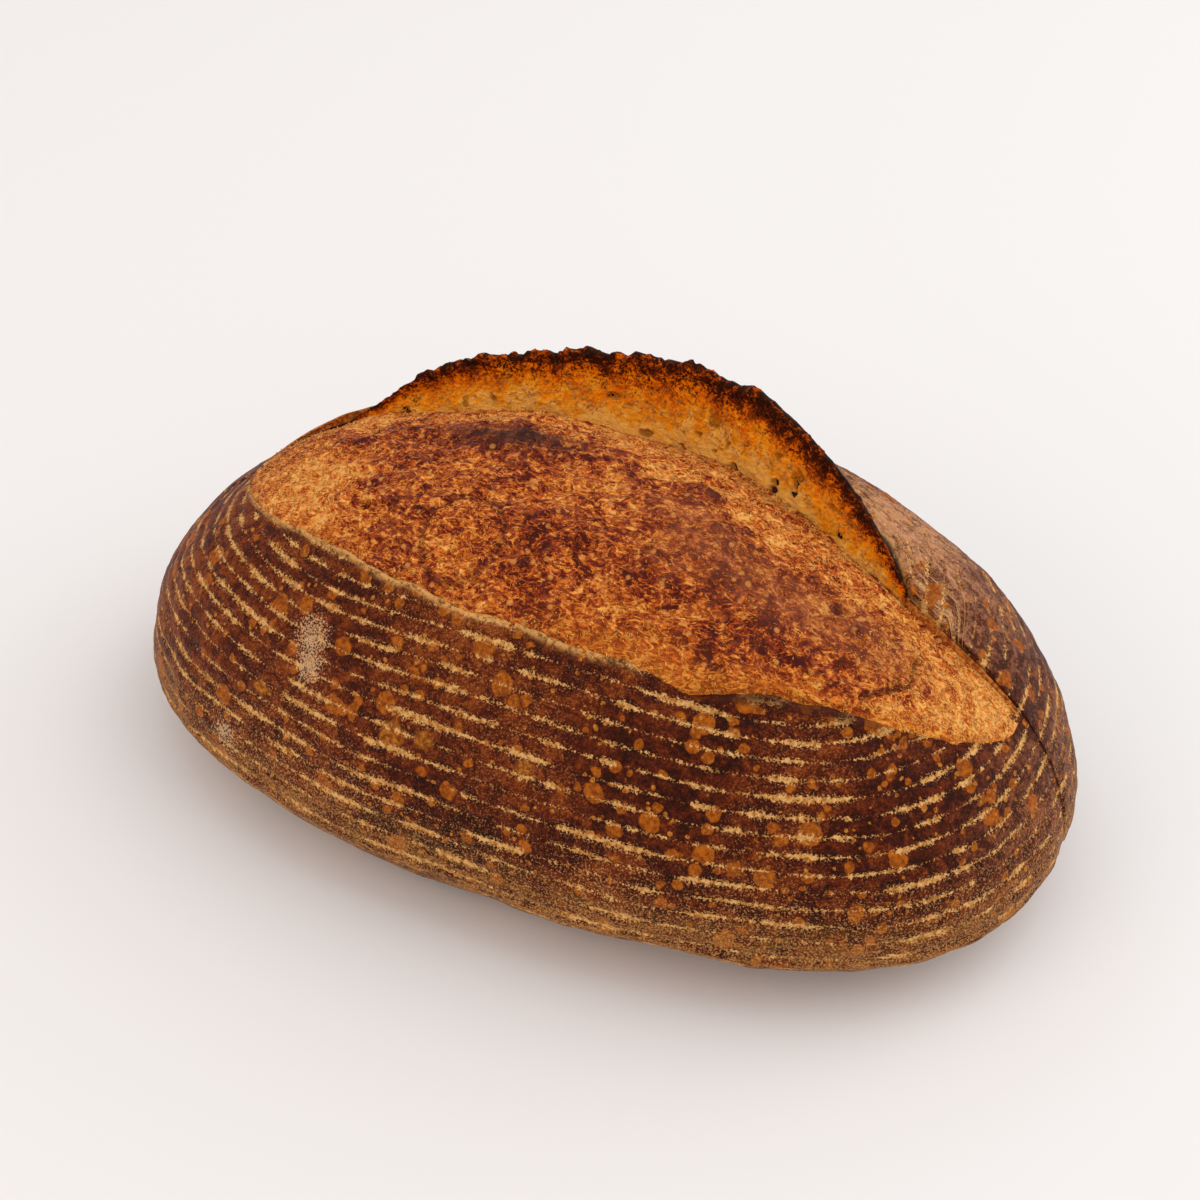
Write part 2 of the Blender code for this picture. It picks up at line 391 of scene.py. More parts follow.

# where the skin is burnt, torn thin, dusty or blistered, with painted shade in the gaps by the cut and a
# painted sheen on the back
x, y = grid[..., 0], grid[..., 1]
walls = np.isin(kinds, ("inside", "pocket"))
back = np.isin(kinds, ("ear", "far"))
scored = smooth_step(openness(x), 0.0, 0.08)
from_rim = np.cumsum(np.linalg.norm(np.diff(grid, axis=1, prepend=grid[:, :1]), axis=-1), axis=1)
rim_end = from_rim[:, np.flatnonzero(kinds == "rim")[-1]][:, None]
down = from_rim - rim_end  # along the surface, from the ear's rim down its back
rise = ear_rise(x)
char_and_gap_shade = np.isin(kinds, ("rim", "inside")) * 1.0
char_and_gap_shade = np.where(kinds == "ear", 1 - smooth_step(down, 0.0, CHAR_DEPTH), char_and_gap_shade) * (rise > 0.02)
char_and_gap_shade = char_and_gap_shade * (0.62 + 0.38 * smooth_step(x, -0.035, 0.015))
beyond_ear = smooth_step(x, 0.066, 0.088)
# the walls under the torn dough and behind the crease: painted shade, near black, fading out past the ear
char_and_gap_shade = np.where(walls, 0.9 * scored * (1 - 0.92 * beyond_ear), char_and_gap_shade)
wave = FRINGE_DEPTH * rise**0.3 + 0.0010 * lumps(grid, 0.012, 2, 8.0)
fringe = np.exp(-(((down - wave) / FRINGE_LINE) ** 2)) * smooth_step(x, 0.02, 0.05)
fringe = fringe * back * (1 - smooth_step(x, 0.115, 0.125))
dust = np.zeros(grid.shape[:2])
for *place, radius in DUSTINGS:
    dust = dust + np.exp(-((np.linalg.norm(grid - place, axis=-1) / radius) ** 2))
blister = np.zeros(grid.shape[:2])
for *place, radius in BLISTERS:
    away = np.linalg.norm(grid - place, axis=-1) / radius
    blister = np.maximum(blister, 1 - smooth_step(away, 0.75, 1.1))
warm = smooth_step(x, -0.05, -0.13) + 0.5 * smooth_step(grid[..., 2], 0.055, 0.085) * (x < 0)
# painted sheen: a pale glancing highlight painted on the upper back and on the right end
end_sheen = 0.28 * smooth_step(x, 0.118, 0.140) * smooth_step(grid[..., 2], 0.030, 0.055)
far_sheen = np.maximum(openness(x) ** 0.3, smooth_step(y, -0.012, 0.030))
far_sheen = far_sheen * (1 - 0.72 * smooth_step(x, 0.095, 0.138))
far_sheen = far_sheen * smooth_step(normals[..., 2], 0.42, 0.82)
thin = np.isin(kinds, ("rim", "ear", "far")) * (1 - smooth_step(down, 0.007, 0.012))
thin = thin * (1 - smooth_step(x, -0.075, -0.060)) * smooth_step(x, -0.120, -0.112)
past_score = smooth_step(abs(x - SCORE_MIDDLE), 0.095, 0.120)
crust = loft(
    "crust",
    close_ends(grid),
    {
        "ring": rings,
        "lip": np.maximum(lip_line * (1 - smooth_step(x, 0.01, 0.04)), 0.9 * fringe),
        "thin": np.maximum(thin, walls * beyond_ear * scored),
        "down": np.where(back, down + 0.1 * past_score, 0.1),
        "char_and_gap_shade": char_and_gap_shade,
        "dust": dust,
        "warm": warm,
        "blister": blister,
        "painted_sheen": np.maximum(back * far_sheen, end_sheen),
        "curl": 0.85 * lip_line * curl,
    },
)


def add_node(tree, kind, inputs=None, out=0, **settings):
    """Adds a node and returns one of its outputs. Each input is given a number, a colour or another
    node's output."""
    made = tree.nodes.new(kind)
    for name, value in settings.items():
        setattr(made, name, value)
    for name, value in (inputs or {}).items():
        if isinstance(value, bpy.types.NodeSocket):
            tree.links.new(value, made.inputs[name])
        else:
            made.inputs[name].default_value = value
    return made.outputs[out]


def texture_noise(tree, where, size, detail=4.0, roughness=0.55, distortion=0.0, out=0):
    inputs = {"Vector": where, "Scale": 1 / size, "Detail": detail, "Roughness": roughness}
    return add_node(tree, "ShaderNodeTexNoise", {**inputs, "Distortion": distortion}, out)


def calculate(tree, operation, first, second=0.0, add=0.0):
    """One sum. add is what MULTIPLY_ADD adds to the product."""
    return add_node(tree, "ShaderNodeMath", {0: first, 1: second, 2: add}, operation=operation)


def between(tree, value, start, end, lowest=0.0, highest=1.0):
    """Eases from lowest to highest while value goes from start to end."""
    inputs = {0: value, 1: start, 2: end, 3: lowest, 4: highest}
    return add_node(tree, "ShaderNodeMapRange", inputs, interpolation_type="SMOOTHSTEP")


def blend(tree, share, first, second, how="MIX"):
    inputs = {0: share, 6: first, 7: second}
    return add_node(tree, "ShaderNodeMix", inputs, 2, data_type="RGBA", blend_type=how)


def shades(tree, value, stops):
    """A ramp of colours, from (place, colour) pairs."""
    made = tree.nodes.new("ShaderNodeValToRGB")
    tree.links.new(value, made.inputs[0])
    while len(made.color_ramp.elements) < len(stops):
        made.color_ramp.elements.new(1.0)
    for element, (place, colour) in zip(made.color_ramp.elements, stops):
        element.position = place
        element.color = (*colour, 1)
    return made.outputs[0]


def attribute(tree, name):
    return add_node(tree, "ShaderNodeAttribute", out=2, attribute_name=name)


def weigh(tree, start, *shares):
    """start plus each value times its share."""
    total = start
    for value, share in shares:
        total = calculate(tree, "MULTIPLY_ADD", value, share, add=total)
    return total


def stretched_noise(tree, place, scale, detail, roughness):
    inputs = {"Vector": place, "Scale": scale, "Detail": detail, "Roughness": roughness}
    return add_node(tree, "ShaderNodeTexNoise", inputs)


def effect(name, numbers, make):
    """A shader node group: make works out its Amount from its tree and its inputs, which are a
    Vector and these numbers."""
    group = bpy.data.node_groups.new(name, "ShaderNodeTree")
    group.interface.new_socket("Vector", in_out="INPUT", socket_type="NodeSocketVector")
    for number in numbers:
        group.interface.new_socket(number, in_out="INPUT", socket_type="NodeSocketFloat")
    group.interface.new_socket("Amount", in_out="OUTPUT", socket_type="NodeSocketFloat")
    given = group.nodes.new("NodeGroupInput").outputs
    leaves = group.nodes.new("NodeGroupOutput").inputs["Amount"]
    group.links.new(make(group, given), leaves)
    return group


def draw_spots(tree, given):
    """Round spots, one at most in each cell. Rarity 0 fills all the cells."""
    place = {"Vector": given["Vector"], "Scale": given["Cells"]}
    away = add_node(tree, "ShaderNodeTexVoronoi", place)
    pick = add_node(tree, "ShaderNodeTexVoronoi", place, 1)
    chance = add_node(tree, "ShaderNodeSeparateColor", {0: pick})
    radius = between(tree, chance, given["Rarity"], 1.0, 0.0, given["Largest"])
    return between(tree, calculate(tree, "SUBTRACT", radius, away), 0.0, given["Edge"])


def draw_strands(tree, given):
    """Thin curling lines, as short fibres make: 1 along each and 0 between them."""
    inputs = {"Vector": given["Vector"], "Scale": given["Scale"], "Detail": 2.0, "Roughness": 0.5}
    inputs["Distortion"] = given["Distortion"]
    drawn = add_node(tree, "ShaderNodeTexNoise", inputs)
    off_line = calculate(tree, "ABSOLUTE", calculate(tree, "SUBTRACT", drawn, 0.5))
    return between(tree, off_line, given["Width"], 0.0)


SPOTS = effect("round spots", ("Cells", "Largest", "Rarity", "Edge"), draw_spots)
STRANDS = effect("curled fibres", ("Scale", "Width", "Distortion"), draw_strands)


def spots(tree, where, cell, largest, rarity, edge=0.12):
    """Round spots. largest and edge are shares of the cell and of the largest spot."""
    inputs = {"Vector": where, "Cells": 1 / cell, "Rarity": rarity}
    inputs = {**inputs, "Largest": largest, "Edge": edge * largest}
    return add_node(tree, "ShaderNodeGroup", inputs, node_tree=SPOTS)


def strands(tree, where, size, width, distortion=0.8):
    inputs = {"Vector": where, "Scale": 1 / size, "Width": width, "Distortion": distortion}
    return add_node(tree, "ShaderNodeGroup", inputs, node_tree=STRANDS)


def vector_math(tree, operation, *vectors, **numbers):
    inputs = {**dict(enumerate(vectors)), **numbers}
    return add_node(tree, "ShaderNodeVectorMath", inputs, operation=operation)


def new_material(name):
    material = bpy.data.materials.new(name)
    material.use_nodes = True
    tree = material.node_tree
    where = add_node(tree, "ShaderNodeTexCoord", out=3)
    return material, tree, tree.nodes["Principled BSDF"], where


def finish_surface(tree, shader, colour, roughness, height, distance):
    """Links the colour, the roughness and a bump into the surface."""
    tree.links.new(colour, shader.inputs["Base Color"])
    tree.links.new(roughness, shader.inputs["Roughness"])
    bumped = add_node(tree, "ShaderNodeBump", {"Height": height, "Distance": distance})
    tree.links.new(bumped, shader.inputs["Normal"])


RELIEF = 0.0002
CRUST_GLOSS = 0.06


def crust_material():
    material, tree, shader, where = new_material("dark baked crust")
    ring = attribute(tree, "ring")
    height = add_node(tree, "ShaderNodeSeparateXYZ", {0: where}, 2)
    grain = between(tree, texture_noise(tree, where, 0.00060, 2.0, 0.7), 0.36, 0.64)
    speck = between(tree, texture_noise(tree, where, 0.0014, 4.0, 0.65), 0.36, 0.64)
    mottle = between(tree, texture_noise(tree, where, 0.0060, 5.0, 0.62, 0.8), 0.36, 0.64)
    region = between(tree, texture_noise(tree, where, 0.045, 2.0, 0.5), 0.36, 0.64)
    warm = attribute(tree, "warm")
    bake = weigh(tree, 0.0, (mottle, 0.34), (region, 0.20), (speck, 0.24), (grain, 0.22), (warm, 0.12))
    colour = shades(
        tree,
        bake,
        (
            (0.14, (0.018, 0.004, 0.0020)),
            (0.34, (0.042, 0.006, 0.0020)),
            (0.50, (0.078, 0.011, 0.0026)),
            (0.66, (0.130, 0.021, 0.0034)),
            (0.86, (0.230, 0.048, 0.0060)),
        ),
    )
    # painted sheen: the upper back and the right end paled towards a pinkish tan, as a glancing highlight
    # would
    painted_sheen = attribute(tree, "painted_sheen")
    pale = blend(tree, between(tree, bake, 0.22, 0.80), (0.150, 0.034, 0.012, 1), (0.680, 0.320, 0.150, 1))
    colour = blend(tree, calculate(tree, "MULTIPLY", painted_sheen, 0.72), colour, pale)
    # the ear's back is drawn out in fine lines along its rim
    down = attribute(tree, "down")
    along = add_node(tree, "ShaderNodeSeparateXYZ", {0: where}, 0)
    along = vector_math(tree, "SCALE", add_node(tree, "ShaderNodeCombineXYZ", {0: along}), Scale=35.0)
    lines = add_node(tree, "ShaderNodeCombineXYZ", {1: calculate(tree, "MULTIPLY", down, 620.0)})
    drawn = stretched_noise(tree, vector_math(tree, "ADD", along, lines), 1.0, 4.0, 0.6)
    drawn = between(tree, drawn, 0.50, 0.64)
    drawn = calculate(tree, "MULTIPLY", drawn, between(tree, down, 0.028, 0.010))
    drawn = calculate(tree, "MULTIPLY", drawn, between(tree, grain, 0.0, 0.5, 0.3, 0.8))
    colour = blend(tree, drawn, colour, (0.620, 0.330, 0.130, 1))
    # round blisters, baked orange, in three sizes
    wavy = texture_noise(tree, where, 0.0022, 2.0, 0.5, out=1)
    warped = vector_math(tree, "ADD", where, vector_math(tree, "SCALE", wavy, Scale=0.0013))
    few = between(tree, region, 0.2, 0.9, 0.0, 0.28)
    rise = attribute(tree, "blister")
    disc = blend(tree, speck, (0.170, 0.038, 0.004, 1), (0.470, 0.150, 0.010, 1))
    colour = blend(tree, rise, colour, disc)
    for cell, largest, rarity, pale in (
        (0.0082, 0.44, 0.22, (0.450, 0.112, 0.005, 1)),
        (0.0046, 0.42, 0.28, (0.450, 0.118, 0.005, 1)),
        (0.0024, 0.38, 0.50, (0.560, 0.210, 0.028, 1)),
    ):
        rare = calculate(tree, "ADD", few, rarity)
        blister = spots(tree, warped, cell, largest, rare)
        tinted = blend(tree, speck, (0.210, 0.044, 0.003, 1), pale)
        colour = blend(tree, calculate(tree, "MULTIPLY", blister, 0.90), colour, tinted)
        rise = calculate(tree, "MULTIPLY_ADD", blister, 0.35, add=rise)
    # flour in lines where the canes were, broken into dashes along each ring
    turn = 1 / HALF_LENGTH, 1 / HALF_WIDTH, 0.0
    flat = vector_math(tree, "NORMALIZE", vector_math(tree, "MULTIPLY", where, turn))
    flat = vector_math(tree, "SCALE", flat, Scale=8.5)
    lift = calculate(tree, "MULTIPLY", calculate(tree, "FLOOR", ring), 3.7)
    place = vector_math(tree, "ADD", flat, add_node(tree, "ShaderNodeCombineXYZ", {2: lift}))
    dash = stretched_noise(tree, place, 1.0, 4.0, 0.6)
    off_line = calculate(tree, "ABSOLUTE", calculate(tree, "SUBTRACT", calculate(tree, "FRACT", ring), 0.5))
    amount = between(tree, dash, 0.36, 0.64, -0.17, 0.09)
    amount = weigh(tree, amount, (mottle, 0.06), (painted_sheen, -0.07), (grain, 0.17), (speck, 0.06))
    line = between(tree, calculate(tree, "SUBTRACT", amount, off_line), 0.02, 0.11)
    # sandy flour: loose round the dashes, thicker towards the base
    loose = calculate(tree, "SUBTRACT", between(tree, dash, 0.40, 0.66, 0.0, 0.30), off_line)
    loose = between(tree, loose, -0.15, 0.15)
    low_down = between(tree, height, 0.060, 0.012)
    sandy = between(tree, weigh(tree, grain, (low_down, 0.34), (loose, 0.30), (region, 0.10)), 1.00, 1.20)
    lower = add_node(tree, "ShaderNodeCombineXYZ", {2: calculate(tree, "MULTIPLY", ring, 2.2)})
    streak = stretched_noise(tree, vector_math(tree, "ADD", flat, lower), 1.3, 6.0, 0.7)
    band = calculate(tree, "MULTIPLY", between(tree, height, 0.042, 0.020), between(tree, streak, 0.42, 0.58))
    band = calculate(tree, "MULTIPLY", band, between(tree, height, 0.001, 0.007))
    band = calculate(tree, "MULTIPLY", band, between(tree, grain, 0.0, 0.6, 0.45, 1.0))
    colour = blend(tree, calculate(tree, "MULTIPLY", band, 0.85), colour, (0.370, 0.145, 0.030, 1))
    colour = blend(tree, calculate(tree, "MULTIPLY", sandy, 0.70), colour, (0.480, 0.250, 0.090, 1))
    cream = blend(tree, speck, (0.400, 0.140, 0.020, 1), (0.740, 0.420, 0.150, 1))
    colour = blend(tree, calculate(tree, "MULTIPLY", line, 0.95), colour, cream)
    # a few handfuls of loose flour, the lip's dusty edge, the burnt rim of the ear, and painted shade in the
    # gaps by the cut
    dusty = between(tree, weigh(tree, attribute(tree, "dust"), (grain, 0.9)), 1.05, 1.45)
    colour = blend(tree, calculate(tree, "MULTIPLY", dusty, 0.80), colour, (0.620, 0.390, 0.200, 1))
    lip = calculate(tree, "MULTIPLY", attribute(tree, "lip"), between(tree, speck, 0.0, 0.6, 0.25, 1.0))
    colour = blend(tree, lip, colour, (0.700, 0.350, 0.105, 1))
    char_and_gap_shade = calculate(tree, "MULTIPLY", attribute(tree, "char_and_gap_shade"), between(tree, mottle, 0.0, 0.4, 0.75, 1.0))
    # darker over the lowest few millimetres, down to near black at the table
    foot = between(tree, height, 0.0045, 0.0005, 0.0, 0.8)
    torn = blend(tree, speck, (0.260, 0.045, 0.004, 1), (0.660, 0.230, 0.040, 1))
    colour = blend(tree, attribute(tree, "thin"), colour, torn)
    # the curled lip's dark line: its own dark crust, with painted shade under the dough that overhangs it
    colour = blend(tree, attribute(tree, "curl"), colour, (0.050, 0.012, 0.006, 1))
    colour = blend(tree, calculate(tree, "MAXIMUM", char_and_gap_shade, foot), colour, (0.024, 0.010, 0.008, 1))
    rough = between(tree, line, 0.0, 1.0, 0.48, 0.85)
    rough = weigh(tree, rough, (char_and_gap_shade, -0.10))
    relief = weigh(tree, rise, (speck, 0.35), (grain, 0.20), (line, 0.35), (mottle, 0.45))
    finish_surface(tree, shader, colour, rough, relief, RELIEF)
    shader.inputs["Specular IOR Level"].default_value = CRUST_GLOSS
    return material


crust.data.materials.append(crust_material())
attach(crust, "root")
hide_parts("loaf")


# ---------------------------------------------------------------------------------------------
# The torn dough: the inside of the loaf that has swollen up through the cut. It comes out from
# under the near lip, bulges, and dives into the crease below the ear. Its torn skin is all small
# curled fibres, brown and glossy on the high places and orange where it tore last.

BULGE = 0.0035
UNDER_LIP = 0.003
DOUGH_ROWS = 448
DOUGH_COLUMNS = 196
BLISTER = (-0.027, -0.031, 0.0115, 0.0011)  # x, y, radius and height of a round, low blister
PITS = ((-0.062, -0.024, 0.0016, 0.003), (0.077, -0.012, 0.0024, 0.002))  # x, y, radius and depth
CRACK = ((0.091, -0.031), (0.101, -0.020), (0.100, -0.011))
DOUGH_RELIEF = 0.00018
DOUGH_GLOSS = 0.14


def dough_height(x, y, lip, crease):
    """Height of the torn dough before its fine relief."""
    opened = openness(x)
    across = np.clip((y - lip) / (crease - lip), 0, 1)
    rise = np.sin(math.pi * across**0.85) * BULGE * opened
    step = LIP_STEP * opened * (1 - across) ** 3
    return dome_height(x, y) + rise - step - CREASE_DEPTH * opened**0.5 * across**5


def dough_grid():
    """The torn dough's points, round each station: over the top from lip to crease, and back inside."""
    start, end = SCORE_MIDDLE - SCORE_HALF_LENGTH, SCORE_MIDDLE + SCORE_HALF_LENGTH
    x = stations(start, end, DOUGH_ROWS, 0.35)[:, None]
    lip, crease, _ = score_lines(x)
    opened = openness(x)
    tuck = UNDER_LIP * opened**0.5
    top = 168
    y = spaced(lip - tuck, crease, top)
    z = dough_height(x, y, lip, crease)
    z = z - 0.9 * np.maximum(0, lip - y) * opened**0.5
    across = np.broadcast_to(np.clip((y - lip) / (crease - lip), -0.05, 1), y.shape)
    dive_y = spaced(crease, crease + 0.002 * opened, 8)
    dive_z = spaced(z[:, -1:], z[:, -1:] - POCKET_DEPTH * opened**0.5 * 1.3, 8)
    back_y = spaced(dive_y[:, -1:], lip - tuck, DOUGH_COLUMNS - top - 8)
    under_z = dome_height(x, back_y) - POCKET_DEPTH * opened**0.5 * 1.3
    y = np.concatenate((y, dive_y, back_y), axis=1)
    z = np.concatenate((z, dive_z, under_z), axis=1)
    across = np.concatenate((across, np.full((len(x), DOUGH_COLUMNS - top), 1.2)), axis=1)
    return np.stack(np.broadcast_arrays(x, y, z), axis=-1), across


grid, across = dough_grid()
normals = outward(grid)
shown = smooth_step(across, -0.04, 0.02) * (across <= 1)
x, y = grid[..., 0], grid[..., 1]
rolls = lumps(grid, (0.034, 0.018, 0.02), 3, 11.0)
folds = lumps(grid, (0.024, 0.009, 0.010), 4, 12.0, ridged=True) - 0.9
shag = lumps(grid, (0.0034, 0.0024, 0.0026), 4, 13.0)
curls = lumps(grid, 0.0021, 3, 14.0, ridged=True) - 0.9
push = 0.0020 * rolls + 0.0015 * folds + 0.00060 * shag + 0.00030 * curls
from_blister = np.hypot(x - BLISTER[0], y - BLISTER[1]) / BLISTER[2]
push = push + BLISTER[3] * (1 - smooth_step(from_blister, 0.75, 1.0))
push = push - 0.0008 * np.exp(-(((from_blister - 1.08) / 0.1) ** 2))
from_pits = [np.hypot(x - pit_x, y - pit_y) / radius for pit_x, pit_y, radius, _ in PITS]
for away, (*_, depth) in zip(from_pits, PITS):
    push = push - depth * np.exp(-(away**2)) + 0.0006 * np.exp(-(((away - 1.7) / 0.4) ** 2))
from_crack = []
for (ax, ay), (bx, by) in zip(CRACK, CRACK[1:]):
    share = ((x - ax) * (bx - ax) + (y - ay) * (by - ay)) / ((bx - ax) ** 2 + (by - ay) ** 2)
    share = np.clip(share, 0, 1)
    away = np.hypot(x - ax - share * (bx - ax), y - ay - share * (by - ay))
    from_crack.append(away)
    push = push - 0.0012 * np.exp(-((away / 0.0007) ** 2)) + 0.0006 * np.exp(-(((away - 0.002) / 0.001) ** 2))
ends = openness(x) ** 0.4
grid = grid + normals * (push * shown * ends)[..., None]
high_spots = np.clip(0.5 + 0.45 * rolls + 0.35 * folds + 0.35 * shag, 0, 1)
wander = across + 0.07 * lumps(grid, (0.022, 0.015, 0.015), 3, 15.0)
last_torn = smooth_step(wander, 0.64, 0.70) * smooth_step(x, -0.085, -0.045)
near_edge = (1 - smooth_step(wander, 0.05, 0.20)) * smooth_step(x, -0.035, 0.015)
near_edge = np.maximum(near_edge, 0.7 * (1 - smooth_step(wander, 0.02, 0.10)))
right_tip = smooth_step(x + 0.012 * rolls, 0.082, 0.108)
left_tip = 1 - smooth_step(x + 0.02 * rolls, -0.095, -0.060)
fresh = np.maximum(0.9 * last_torn, 0.55 * near_edge)
fresh = np.maximum(fresh, np.maximum(1.2 * right_tip, 0.95 * left_tip))
golden = (1 - smooth_step(wander, 0.02, 0.17)) * smooth_step(x, -0.01, 0.03)
smooth = smooth_step(wander, 0.20, 0.45) * (1 - smooth_step(wander, 0.52, 0.72))
smooth = smooth * smooth_step(x, 0.00, 0.04) * (1 - smooth_step(x, 0.090, 0.112))
grid = grid - normals * (0.0009 * last_torn * shown)[..., None]
burnt_and_hollow_shade = np.exp(-(((x + 0.030) / 0.020) ** 2 + ((y - 0.008) / 0.006) ** 2))
fresh = np.maximum(fresh, 0.45 * (1 - smooth_step(from_blister, 0.85, 1.0)))
# a dark ring in the groove round the blister, and near black in the pits and along the crack: painted shade
# in these hollows
burnt_and_hollow_shade = np.maximum(burnt_and_hollow_shade, 0.55 * np.exp(-(((from_blister - 1.02) / 0.06) ** 2)))
for away in from_pits:
    fresh = np.maximum(fresh, np.exp(-(((away - 1.2) / 0.5) ** 2)))
    burnt_and_hollow_shade = np.maximum(burnt_and_hollow_shade, 0.9 * np.exp(-((away / 0.7) ** 2)))
for away in from_crack:
    burnt_and_hollow_shade = np.maximum(burnt_and_hollow_shade, 0.8 * np.exp(-((away / 0.0006) ** 2)))
    fresh = np.maximum(fresh, 0.8 * np.exp(-(((away - 0.0016) / 0.0007) ** 2)))
dough_points, dough_normals, dough_across = grid, normals, across
zones = {"high": high_spots, "fresh": fresh, "burnt_and_hollow_shade": burnt_and_hollow_shade, "golden": golden, "smooth": smooth}
torn_dough = loft("torn_dough", close_ends(grid), zones)


def torn_material():
    material, tree, shader, where = new_material("torn and browned dough")
    long_ways = add_node(tree, "ShaderNodeMapping", {"Vector": where, "Scale": (0.6, 1.0, 1.0)})
    fibre = between(tree, texture_noise(tree, long_ways, 0.0018, 4.0, 0.60, 1.4), 0.38, 0.62)
    fine = between(tree, texture_noise(tree, where, 0.00060, 2.0, 0.6, 0.6), 0.36, 0.64)
    curly = strands(tree, long_ways, 0.0034, 0.060, 1.2)
    patch = between(tree, texture_noise(tree, where, 0.0070, 5.0, 0.65, 1.0), 0.36, 0.64)
    region = between(tree, texture_noise(tree, where, 0.040, 2.0, 0.5), 0.34, 0.66)
    fresh = attribute(tree, "fresh")
    light = weigh(tree, -0.08, (fibre, 0.36), (curly, 0.36), (fine, 0.14), (patch, 0.34), (region, 0.10))
    light = weigh(tree, light, (attribute(tree, "high"), -0.30), (fresh, 0.28))
    colour = shades(
        tree,
        light,
        (
            (0.00, (0.060, 0.006, 0.002)),
            (0.12, (0.140, 0.010, 0.002)),
            (0.24, (0.250, 0.030, 0.003)),
            (0.38, (0.420, 0.072, 0.008)),
            (0.52, (0.620, 0.146, 0.013)),
            (0.68, (0.800, 0.270, 0.038)),
            (0.92, (0.920, 0.460, 0.110)),
        ),
    )
    lit = blend(tree, curly, (0.440, 0.075, 0.003, 1), (0.920, 0.390, 0.045, 1))
    lit = blend(tree, calculate(tree, "MULTIPLY", fibre, 0.6), lit, (0.760, 0.215, 0.010, 1))
    colour = blend(tree, calculate(tree, "MULTIPLY", attribute(tree, "golden"), 0.65), colour, lit)
    smooth = attribute(tree, "smooth")
    sheet = blend(tree, patch, (0.240, 0.060, 0.018, 1), (0.500, 0.170, 0.060, 1))
    colour = blend(tree, calculate(tree, "MULTIPLY", smooth, 0.30), colour, sheet)
    dots = spots(tree, where, 0.0030, 0.40, 0.10, 0.5)
    colour = blend(tree, calculate(tree, "MULTIPLY", dots, 0.80), colour, (0.720, 0.280, 0.060, 1))
    # the burnt patch, and painted shade in the pits, along the crack and in the blister's groove
    burnt_and_hollow_shade = calculate(tree, "MULTIPLY", attribute(tree, "burnt_and_hollow_shade"), 0.85)
    colour = blend(tree, burnt_and_hollow_shade, colour, (0.040, 0.012, 0.008, 1))
    glazed = between(tree, calculate(tree, "SUBTRACT", patch, fresh), 0.25, 0.75)
    glazed = calculate(tree, "MULTIPLY", glazed, between(tree, fibre, 0.8, 0.3))
    glazed = calculate(tree, "MAXIMUM", glazed, calculate(tree, "MULTIPLY", smooth, 0.50))
    colour = blend(tree, calculate(tree, "MULTIPLY", glazed, 0.30), colour, (0.250, 0.060, 0.018, 1))
    rough = between(tree, glazed, 0.0, 1.0, 0.62, 0.38)
    relief = weigh(tree, fibre, (fine, 0.35), (curly, 0.80))
    finish_surface(tree, shader, colour, rough, relief, DOUGH_RELIEF)
    shader.inputs["Specular IOR Level"].default_value = DOUGH_GLOSS
    return material


torn_dough.data.materials.append(torn_material())
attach(torn_dough, "root")
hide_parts("loaf")


# ---------------------------------------------------------------------------------------------
# The ear's inner face: crumb that tore away from the bulge and dried upright. It is pale and full
# of pores down in the crease, golden above it, and burnt along its ragged rim.

EAR_ROWS = 520
EAR_COLUMNS = 184
FACE_COLUMNS = 140
CRUMB_GLOSS = 0.02


def ear_grid():
    """The inner face's points, round each station: up from below the crease to the rim, over it, and
    down inside the ear."""
    x = stations(EAR_PEAK_X - EAR_LEFT, EAR_PEAK_X + EAR_RIGHT, EAR_ROWS, 0.35)[:, None]
    x = np.clip(x, EAR_PEAK_X - 0.9995 * EAR_LEFT, EAR_PEAK_X + 0.9995 * EAR_RIGHT)
    crease, rim, _ = ear_corners(x)
    rise = ear_rise(x)
    opened = openness(x)
    sunk = (crease[0] - 0.001 * rise, crease[1] - 0.005 * opened**0.5)
    hollow = EAR_HOLLOW * rise
    third = ((rim[0] - sunk[0]) / 3, (rim[1] - sunk[1]) / 3)
    face = curve(
        sunk,
        (sunk[0] + third[0] + hollow, sunk[1] + third[1]),
        (rim[0] - third[0] + hollow, rim[1] - third[1]),
        rim,
        FACE_COLUMNS,
    )
    thick = 0.55 * EAR_THICKNESS * rise + 0.0002
    inner = (rim[0] + thick, rim[1] - 0.001 * rise)
    over = (rim[0] + 0.2 * thick, rim[1] + 0.5 * thick)
    top = curve(rim, over, (rim[0] + thick, rim[1] + 0.3 * thick), inner, 14)
    foot = (sunk[0] + thick + 0.003 * opened, sunk[1] - 0.002 * opened)
    down = (spaced(inner[0], foot[0], 18), spaced(inner[1], foot[1], 18))
    rest = EAR_COLUMNS - FACE_COLUMNS - 14 - 18
    under = (spaced(foot[0], sunk[0], rest), spaced(foot[1], sunk[1], rest))
    y = np.concatenate((face[0], top[0], down[0], under[0]), axis=1)
    z = np.concatenate((face[1], top[1], down[1], under[1]), axis=1)
    up = np.concatenate((np.linspace(0, 1, FACE_COLUMNS), np.ones(14), np.ones(18), np.zeros(rest)))
    seen = np.concatenate((np.ones(FACE_COLUMNS + 14), np.zeros(18 + rest)))
    return np.stack(np.broadcast_arrays(x, y, z), axis=-1), up, seen


